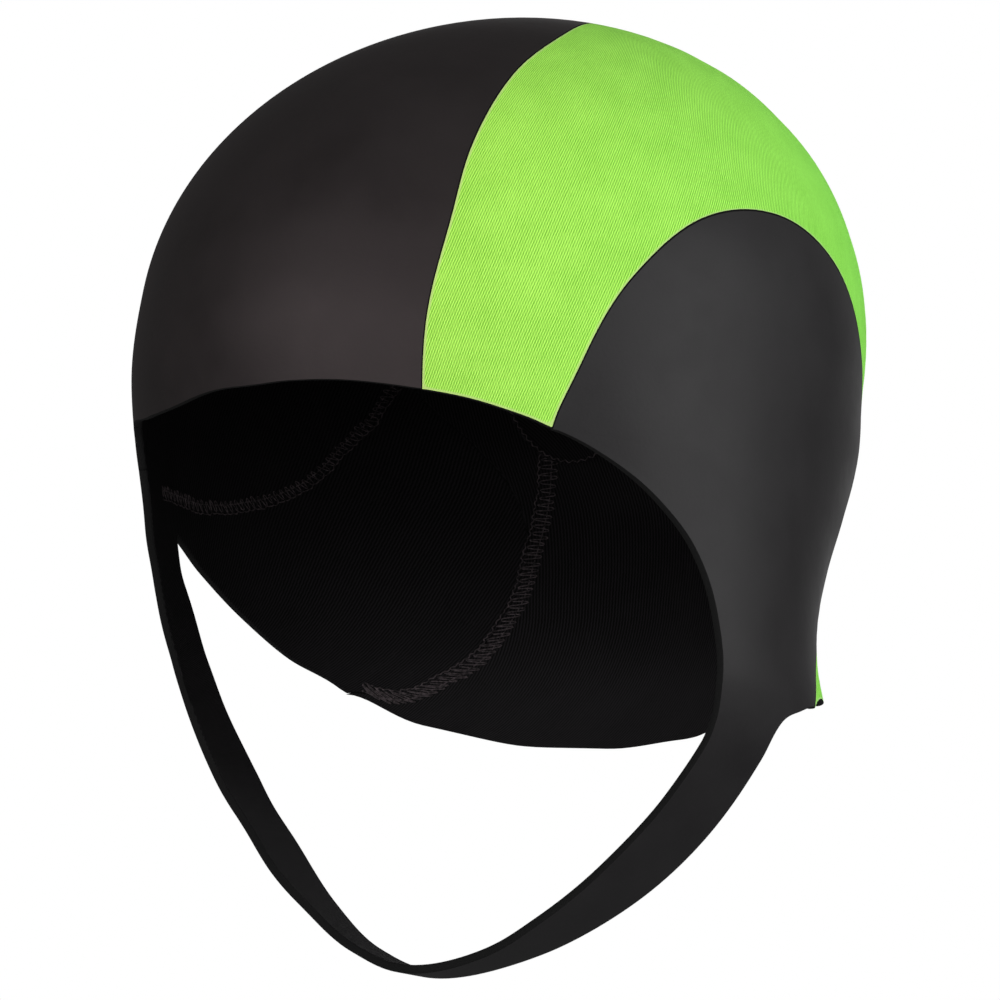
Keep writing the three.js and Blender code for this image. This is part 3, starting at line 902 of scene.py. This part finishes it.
def jersey(name, low, high, spacing, lean, sheen, contrast=1.0, edge=None, back="#ffffff"):
    """Nylon jersey knitted in fine ribs, laminated to neoprene.

    The eye sees slanting ribs broken into short dashes by their stitches. spacing is the distance
    between two ribs and lean their turn from upright, towards the back. edge is the colour of a
    painted highlight along the cut edges, where the jersey rolls into the seam and catches the
    light, and back is a painted shade that darkens the cloth and turns it greener towards the back
    of the head.
    """
    material, tree = new_material(name)
    cloth = add_node(tree, "ShaderNodeUVMap", uv_map="cloth")
    laid = add_node(tree, "ShaderNodeMapping", {
        "Vector": cloth.outputs["UV"], "Scale": PER_MM, "Rotation": (0.0, 0.0, lean)})
    in_mm = laid.outputs["Vector"]
    uneven = add_node(tree, "ShaderNodeTexNoise", {
        "Vector": in_mm, "Scale": 0.09, "Detail": 2.0})
    ribs = add_node(tree, "ShaderNodeTexWave", {
        "Vector": in_mm, "Scale": WAVE_SPAN / (spacing / MM),
        "Distortion": 0.5, "Detail": 1.0, "Detail Scale": 1.2}, bands_direction="X")
    drawn_out = add_node(tree, "ShaderNodeMapping", {
        "Vector": in_mm, "Scale": (1.5, 0.45, 1.0)})
    dashes = add_node(tree, "ShaderNodeTexNoise", {
        "Vector": drawn_out.outputs["Vector"], "Scale": 1.0, "Detail": 2.0})
    clear = add_node(tree, "ShaderNodeMapRange", {
        "Value": dashes.outputs["Fac"], "From Min": 0.35, "From Max": 0.65,
        "To Min": 0.35, "To Max": 1.0})
    turned = add_node(tree, "ShaderNodeMapping", {
        "Vector": in_mm, "Rotation": (0.0, 0.0, STITCH_TURN)})
    stitches = add_node(tree, "ShaderNodeTexWave", {
        "Vector": turned.outputs["Vector"], "Scale": WAVE_SPAN / (STITCH_SPACING * spacing / MM),
        "Distortion": 0.6, "Detail": 1.0, "Detail Scale": 1.5}, bands_direction="X")
    fuzz = add_node(tree, "ShaderNodeTexNoise", {"Vector": in_mm, "Scale": 2.5, "Detail": 3.0})
    centred = add_node(tree, "ShaderNodeMath", {0: ribs.outputs["Fac"], 1: 0.5},
                       operation="SUBTRACT")
    knit = add_node(tree, "ShaderNodeMath", {
        0: centred.outputs[0], 1: clear.outputs["Result"], 2: 0.5}, operation="MULTIPLY_ADD")
    sums = [knit.outputs[0]]
    for pattern, weight in ((stitches, 0.2), (fuzz, 0.25), (uneven, 0.25)):
        knit = add_node(tree, "ShaderNodeMath", {
            0: pattern.outputs["Fac"], 1: weight, 2: sums[-1]}, operation="MULTIPLY_ADD")
        sums.append(knit.outputs[0])
    height, shade = sums[-2:]
    share = add_node(tree, "ShaderNodeMapRange", {
        "Value": shade, "From Min": MEAN_SHADE - 0.5 / contrast,
        "From Max": MEAN_SHADE + 0.5 / contrast})
    colour = add_node(tree, "ShaderNodeMix", {
        0: share.outputs["Result"], 6: linear(low), 7: linear(high)}, data_type="RGBA")
    # Painted highlight: a pale colour along the cut edges, for the light that the jersey catches
    # where it rolls into the seam
    if edge:
        from_edge = add_node(tree, "ShaderNodeAttribute", attribute_name="from_edge")
        highlight_share = add_node(tree, "ShaderNodeMapRange", {
            "Value": from_edge.outputs["Fac"], "From Min": EDGE_HIGHLIGHT_FULL * MM,
            "From Max": EDGE_HIGHLIGHT_END * MM, "To Min": 0.8, "To Max": 0.0})
        colour = add_node(tree, "ShaderNodeMix", {
            0: highlight_share.outputs["Result"], 6: colour.outputs[2], 7: linear(edge)},
            data_type="RGBA")
    # Painted shade: the colour is multiplied by back more and more towards the back of the head,
    # darker and greener there
    place = add_node(tree, "ShaderNodeTexCoord")
    axes = add_node(tree, "ShaderNodeSeparateXYZ", {"Vector": place.outputs["Object"]})
    behind = add_node(tree, "ShaderNodeMapRange", {
        "Value": axes.outputs["Y"], "From Min": BACK_SHADE_START * MM, "From Max": BACK_SHADE_FULL * MM})
    colour = add_node(tree, "ShaderNodeMix", {
        0: behind.outputs["Result"], 6: colour.outputs[2], 7: linear(back)},
        data_type="RGBA", blend_type="MULTIPLY")
    finish_material(tree, {
        "Base Color": colour.outputs[2], "Roughness": 0.85, "Specular IOR Level": 0.15,
        "Sheen Weight": sheen, "Sheen Roughness": 0.5, "Sheen Tint": linear(high)},
        height=height, depth=0.04 * MM)
    return material


def smoothskin(name, low, high, smooth, rough, gloss, shine="#ffffff"):
    """Smoothskin neoprene: the closed skin of foamed rubber.

    The eye sees an even satin black with a very fine grain and faint cloudy scuffs. smooth and
    rough are the roughness of its smoothest and its most scuffed places. Its sheen is as strong
    as gloss and has the colour of shine.
    """
    material, tree = new_material(name)
    in_mm = object_mm(tree)
    clouds = add_node(tree, "ShaderNodeTexNoise", {
        "Vector": in_mm, "Scale": 0.06, "Detail": 4.0, "Roughness": 0.6})
    grain = add_node(tree, "ShaderNodeTexNoise", {
        "Vector": in_mm, "Scale": 1.6, "Detail": 3.0, "Roughness": 0.6})
    pores = add_node(tree, "ShaderNodeTexVoronoi", {"Vector": in_mm, "Scale": 1.1}, feature="F1")
    mixed = add_node(tree, "ShaderNodeMath", {
        0: grain.outputs["Fac"], 1: 0.4, 2: clouds.outputs["Fac"]}, operation="MULTIPLY_ADD")
    share = add_node(tree, "ShaderNodeMapRange", {
        "Value": mixed.outputs[0], "From Min": 0.45, "From Max": 0.95})
    colour = add_node(tree, "ShaderNodeMix", {
        0: share.outputs["Result"], 6: linear(low), 7: linear(high)}, data_type="RGBA")
    roughness = add_node(tree, "ShaderNodeMapRange", {
        "Value": clouds.outputs["Fac"], "From Min": 0.35, "From Max": 0.65,
        "To Min": smooth, "To Max": rough})
    relief = add_node(tree, "ShaderNodeMath", {
        0: pores.outputs["Distance"], 1: 0.5, 2: grain.outputs["Fac"]}, operation="MULTIPLY_ADD")
    finish_material(tree, {
        "Base Color": colour.outputs[2], "Roughness": roughness.outputs["Result"],
        "Specular IOR Level": gloss, "Specular Tint": linear(shine)},
        height=relief.outputs[0], depth=0.015 * MM)
    return material


def cut_foam(name, low, high):
    """The cut edge of the neoprene: closed-cell foam, matte, with tiny open cells."""
    material, tree = new_material(name)
    cells = add_node(tree, "ShaderNodeTexVoronoi", {
        "Vector": object_mm(tree), "Scale": 3.0}, feature="F1")
    colour = add_node(tree, "ShaderNodeMix", {
        0: cells.outputs["Distance"], 6: linear(low), 7: linear(high)}, data_type="RGBA")
    finish_material(tree, {
        "Base Color": colour.outputs[2], "Roughness": 0.9, "Specular IOR Level": 0.2},
        height=cells.outputs["Distance"], depth=0.05 * MM)
    return material


def spun_thread(name, low, high):
    """Spun polyester sewing thread: twisted yarn, matte, its tone changing along its length."""
    material, tree = new_material(name)
    fibres = add_node(tree, "ShaderNodeTexNoise", {
        "Vector": object_mm(tree), "Scale": 1.3, "Detail": 3.0})
    share = add_node(tree, "ShaderNodeMapRange", {
        "Value": fibres.outputs["Fac"], "From Min": 0.35, "From Max": 0.65})
    colour = add_node(tree, "ShaderNodeMix", {
        0: share.outputs["Result"], 6: linear(low), 7: linear(high)}, data_type="RGBA")
    finish_material(tree, {
        "Base Color": colour.outputs[2], "Roughness": 0.75, "Specular IOR Level": 0.3},
        height=fibres.outputs["Fac"], depth=0.05 * MM)
    return material


def shared(name, make, *args, **kwargs):
    """The material of that name, made at its first use."""
    return bpy.data.materials.get(name) or make(name, *args, **kwargs)


def lining():
    """Black jersey on the inside of the front and crown panels and on the patch."""
    return shared("black_lining_jersey", jersey, "#000000", "#1c1a1c", spacing=0.82 * MM,
                  lean=math.radians(24), sheen=0.05, contrast=3.0)


def ear_lining():
    """The same cut with its ribs askew, on the inside of the ear panels."""
    return shared("black_lining_jersey_askew", jersey, "#000000", "#1b191b", spacing=1.0 * MM,
                  lean=math.radians(-11), sheen=0.05, contrast=3.0)


def foam_edge():
    """Cut edge of every panel."""
    return shared("cut_neoprene_foam", cut_foam, "#070707", "#111111")


def sewing_thread():
    """Thread of the seams on the inner face and of the patch's edge."""
    return shared("grey_spun_thread", spun_thread, "#161314", "#50474a")


# Settings and operators

LENGTH = {"subtype": "DISTANCE", "unit": "LENGTH"}


class SwimCapSettings(bpy.types.PropertyGroup):
    """Sizes that a user would change."""

    wall: bpy.props.FloatProperty(
        name="Wall", description="Thickness of the neoprene",
        default=2.0 * MM, min=1.0 * MM, max=3.0 * MM, **LENGTH)
    seam_gap: bpy.props.FloatProperty(
        name="Seam groove", description="Width of the groove between two panels",
        default=0.55 * MM, min=0.1 * MM, max=1.0 * MM, **LENGTH)
    patch_thickness: bpy.props.FloatProperty(
        name="Patch", description="Thickness of the patch on the inner face",
        default=0.7 * MM, min=0.3 * MM, max=1.5 * MM, **LENGTH)
    rib_spacing: bpy.props.FloatProperty(
        name="Rib spacing", description="Distance between two ribs of the lime jersey",
        default=0.56 * MM, min=0.4 * MM, max=2.0 * MM, **LENGTH)
    flatlock_width: bpy.props.FloatProperty(
        name="Flatlock width", description="Width of the flat seams on the inner face",
        default=4.6 * MM, min=2.0 * MM, max=8.0 * MM, **LENGTH)
    stitch_pitch: bpy.props.FloatProperty(
        name="Stitch pitch", description="Length of one stitch of the flat seams",
        default=2.1 * MM, min=0.6 * MM, max=3.0 * MM, **LENGTH)
    thread_size: bpy.props.FloatProperty(
        name="Thread size", description="Thickness of the sewing thread",
        default=0.34 * MM, min=0.2 * MM, max=0.8 * MM, **LENGTH)


def place_piece(piece, slot, *nodes):
    """Puts a finished piece on the cap's body."""
    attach(piece, "root")
    if nodes:
        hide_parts(*nodes)


def two_halves(settings, half_rows, turn):
    """A panel of two halves, one on each side of the head."""
    panel = ClothPanel(0.0, settings.wall, EDGE_PRESS * settings.seam_gap)
    for side in (LEFT, RIGHT):
        rows = half_rows(side, settings.seam_gap / MM)
        panel.add_rows(rows, turn * side,
                       laid_round(side, JERSEY_ASKEW), laid_round(side, LINING_ASKEW))
    return panel


class SWIMCAP_OT_front_panel(bpy.types.Operator):
    """Adds the smoothskin panel over the forehead and the top"""

    bl_idname = "swim_cap.front_panel"
    bl_label = "Front panel"

    def execute(self, context):
        settings = context.scene.swim_cap
        skin = smoothskin("black_smoothskin_neoprene", "#151313", "#1b1919",
                          smooth=0.5, rough=0.58, gloss=0.35, shine="#ffeaed")
        panel = ClothPanel(0.0, settings.wall, EDGE_PRESS * settings.seam_gap)
        rows = front_panel_rows(settings.seam_gap / MM)
        panel.add_rows(rows, 1, laid_on_top, laid_on_top)
        piece = panel.to_object("front_panel_smoothskin", [skin, lining(), foam_edge()])
        place_piece(piece, "front_smoothskin", "front_panel")
        return {"FINISHED"}


class SWIMCAP_OT_crown_panel(bpy.types.Operator):
    """Adds the lime jersey panel over both sides and the back of the head"""

    bl_idname = "swim_cap.crown_panel"
    bl_label = "Crown panel"

    def execute(self, context):
        settings = context.scene.swim_cap
        # back is painted shade that darkens the jersey towards the back of the head
        # edge is a painted highlight along the cut edges of the lime jersey
        lime = jersey("lime_jersey", "#66ab26", "#c2fc6c", settings.rib_spacing,
                      lean=math.radians(13), sheen=0.05, edge="#bcd480", back="#d6fcf8")
        panel = two_halves(settings, crown_half_rows, 1)
        piece = panel.to_object("crown_panel_jersey", [lime, lining(), foam_edge()])
        place_piece(piece, "crown_jersey", "crown_panel")
        return {"FINISHED"}


class SWIMCAP_OT_ear_panels(bpy.types.Operator):
    """Adds both ear panels with the chin strap that they run down into"""

    bl_idname = "swim_cap.ear_panels"
    bl_label = "Ear panels and chin strap"

    def execute(self, context):
        settings = context.scene.swim_cap
        skin = smoothskin("charcoal_smoothskin_neoprene", "#201f20", "#262526",
                          smooth=0.44, rough=0.52, gloss=0.11)
        panel = two_halves(settings, ear_half_rows, -1)
        piece = panel.to_object("ear_panels_strap_smoothskin", [skin, ear_lining(), foam_edge()])
        place_piece(piece, "ear_smoothskin", "ear_panels_chin_strap")
        return {"FINISHED"}


class SWIMCAP_OT_inner_patch(bpy.types.Operator):
    """Adds the round patch inside the cap and the thread round its edge"""

    bl_idname = "swim_cap.inner_patch"
    bl_label = "Inner patch"

    def execute(self, context):
        settings = context.scene.swim_cap
        depth = settings.wall + PATCH_GAP * MM
        inner = depth + settings.patch_thickness
        panel = ClothPanel(depth, inner, PATCH_BULGE * MM)
        panel.add_rows(patch_rows(PATCH_RADIUS), -1, laid_on_top, laid_on_top)
        piece = panel.to_object("inner_patch_jersey", [lining(), lining(), lining()])
        place_piece(piece, "patch_jersey", "inner_patch")
        threads = Threads()
        radius = settings.thread_size / 2
        line = SeamLine(patch_rows(PATCH_THREAD_RADIUS)[-1], inner)
        count = int(line.length / settings.stitch_pitch) * ZIGZAG_STEPS
        path = []
        for index in range(count):
            sideways = PATCH_ZIGZAG * MM * math.sin(2 * math.pi * index / ZIGZAG_STEPS)
            path.append(line.at(line.length * index / count, sideways, radius * ZIGZAG_LIFT))
        threads.add(path, radius, closed=True)
        edge = threads.to_object("patch_edge_thread", sewing_thread())
        place_piece(edge, "patch_jersey")
        return {"FINISHED"}


class SWIMCAP_OT_lining_seams(bpy.types.Operator):
    """Adds the flatlock stitching of the seams on the inner face"""

    bl_idname = "swim_cap.lining_seams"
    bl_label = "Lining seams"

    def execute(self, context):
        settings = context.scene.swim_cap
        for side, label in ((LEFT, "left"), (RIGHT, "right")):
            threads = Threads()
            for seed, (table, sewing) in enumerate((
                    (LINING_SEAM_FRONT, LINING_FRONT_SEWING),
                    (LINING_SEAM_REAR, LINING_REAR_SEWING))):
                run = smooth_run(chart_points(table, side))
                flatlock(threads, SeamLine(run, settings.wall), settings, seed, sewing, -side)
            piece = threads.to_object("flatlock_" + label, sewing_thread())
            place_piece(piece, "crown_jersey")
        threads = Threads()
        right, left = front_seam_runs(0, 0.0)
        run = (right + left[::-1][1:])[SEAM_TRIM:-SEAM_TRIM]
        flatlock(threads, SeamLine(run, settings.wall), settings, 2, FRONT_SEWING)
        piece = threads.to_object("flatlock_front", sewing_thread())
        place_piece(piece, "crown_jersey")
        return {"FINISHED"}


# Stage, in metres and degrees. Azimuths turn from the front towards the cap's left side.

FLOOR_SIZE = 30.0
FLOOR_HEIGHT = -2.0
FLOOR_COLOUR = "#f4f4f4"
FLOOR_GLOW = 0.9  # how bright the floor looks, as a share of its colour
FILL_LIGHT = 0.1  # even light from all round, as a share of the backdrop's white

# Round soft boxes, with their size and their power in watts
SoftBox = namedtuple("SoftBox", "azimuth elevation size watts")
SOFT_BOX_DISTANCE = 1.6
SOFT_BOXES = [
    SoftBox(2, -3, 1.6, 18.0),
    SoftBox(50, 2, 1.3, 7.5),
    SoftBox(110, 13, 1.3, 21.0),
    SoftBox(35, 64, 1.3, 1.6),
    SoftBox(205, 22, 1.3, 2.4),
]

# Camera at the photograph's viewing angle
CAMERA_AZIMUTH = 39.76
CAMERA_ELEVATION = -12.5
CAMERA_ROLL = 4.19
CAMERA_DISTANCE = 0.88
CAMERA_TARGET = (0.0004, 0.0, -0.0039)
CAMERA_LENS = 133.74  # mm
SENSOR_WIDTH = 36.0  # mm
VIEW_END = 50.0  # how far the camera sees


def toward(azimuth, elevation):
    """Direction from the cap, by azimuth from the front and elevation."""
    a, e = math.radians(azimuth), math.radians(elevation)
    return Vector((math.sin(a) * math.cos(e), -math.cos(a) * math.cos(e), math.sin(e)))


def seen_as(tree, shader, look):
    """The shader that lights the rest of the scene, with another look for the eye."""
    rays = add_node(tree, "ShaderNodeLightPath")
    mixed = add_node(tree, "ShaderNodeMixShader", {
        0: rays.outputs["Is Camera Ray"], 1: shader, 2: look})
    return mixed.outputs["Shader"]


def pale_floor():
    """Matte paper with a glow that the eye sees, but that throws no light on the cap."""
    material, tree = new_material("pale_floor")
    matte = add_node(tree, "ShaderNodeBsdfPrincipled", {
        "Base Color": linear(FLOOR_COLOUR), "Roughness": 0.9})
    pale = add_node(tree, "ShaderNodeEmission", {
        "Color": linear(FLOOR_COLOUR), "Strength": FLOOR_GLOW})
    add_node(tree, "ShaderNodeOutputMaterial", {
        "Surface": seen_as(tree, matte.outputs["BSDF"], pale.outputs["Emission"])})
    return material


def studio_world():
    """A white backdrop that throws only a little light."""
    world = bpy.data.worlds.new("studio")
    world.use_nodes = True
    tree = world.node_tree
    tree.nodes.clear()
    fill = add_node(tree, "ShaderNodeBackground", {
        "Color": linear("#ffffff"), "Strength": FILL_LIGHT})
    backdrop = add_node(tree, "ShaderNodeBackground", {
        "Color": linear("#ffffff"), "Strength": 1.0})
    add_node(tree, "ShaderNodeOutputWorld", {
        "Surface": seen_as(tree, fill.outputs["Background"], backdrop.outputs["Background"])})
    return world


class SWIMCAP_OT_stage(bpy.types.Operator):
    """Adds the floor, the soft studio lights and the camera"""

    bl_idname = "swim_cap.stage"
    bl_label = "Studio"

    def execute(self, context):
        bpy.ops.object.select_all(action="DESELECT")
        bpy.ops.mesh.primitive_plane_add(size=FLOOR_SIZE, location=(0.0, 0.0, FLOOR_HEIGHT))
        floor = context.object
        floor.name = "floor"
        floor.data.materials.append(pale_floor())
        context.scene.world = studio_world()
        context.scene.view_settings.view_transform = "Standard"

        for box in SOFT_BOXES:
            direction = toward(box.azimuth, box.elevation)
            turn = direction.to_track_quat("Z", "Y").to_euler()
            bpy.ops.object.light_add(type="AREA", location=direction * SOFT_BOX_DISTANCE,
                                     rotation=turn)
            lamp = context.object.data
            lamp.shape = "DISK"
            lamp.size = box.size
            lamp.energy = box.watts

        back = toward(CAMERA_AZIMUTH, CAMERA_ELEVATION)
        roll = Quaternion((0.0, 0.0, 1.0), math.radians(CAMERA_ROLL))
        turn = back.to_track_quat("Z", "Y") @ roll
        place = Vector(CAMERA_TARGET) + back * CAMERA_DISTANCE
        bpy.ops.object.camera_add(location=place, rotation=turn.to_euler())
        camera = context.object
        camera.data.lens = CAMERA_LENS
        camera.data.sensor_width = SENSOR_WIDTH
        camera.data.clip_end = VIEW_END
        context.scene.camera = camera
        return {"FINISHED"}


class SWIMCAP_PT_sidebar(bpy.types.Panel):
    """Lists the settings and the steps that build the cap"""

    bl_idname = "SWIMCAP_PT_sidebar"
    bl_label = "Swim cap"
    bl_space_type = "VIEW_3D"
    bl_region_type = "UI"
    bl_category = "Swim cap"

    def draw(self, context):
        settings = context.scene.swim_cap
        for name in SwimCapSettings.__annotations__:
            self.layout.prop(settings, name)
        for step in STEPS_TO_BUILD:
            self.layout.operator(step.bl_idname)


STEPS_TO_BUILD = (
    SWIMCAP_OT_front_panel,
    SWIMCAP_OT_crown_panel,
    SWIMCAP_OT_ear_panels,
    SWIMCAP_OT_inner_patch,
    SWIMCAP_OT_lining_seams,
    SWIMCAP_OT_stage,
)
CLASSES = (SwimCapSettings, *STEPS_TO_BUILD, SWIMCAP_PT_sidebar)


def register():
    for cls in CLASSES:
        bpy.utils.register_class(cls)
    bpy.types.Scene.swim_cap = bpy.props.PointerProperty(type=SwimCapSettings)


def unregister():
    del bpy.types.Scene.swim_cap
    for cls in reversed(CLASSES):
        bpy.utils.unregister_class(cls)


def main():
    """Builds every piece in order."""
    register()
    bpy.ops.swim_cap.front_panel()
    bpy.ops.swim_cap.crown_panel()
    bpy.ops.swim_cap.ear_panels()
    bpy.ops.swim_cap.inner_patch()
    bpy.ops.swim_cap.lining_seams()
    bpy.ops.swim_cap.stage()


if __name__ == "__main__":
    main()
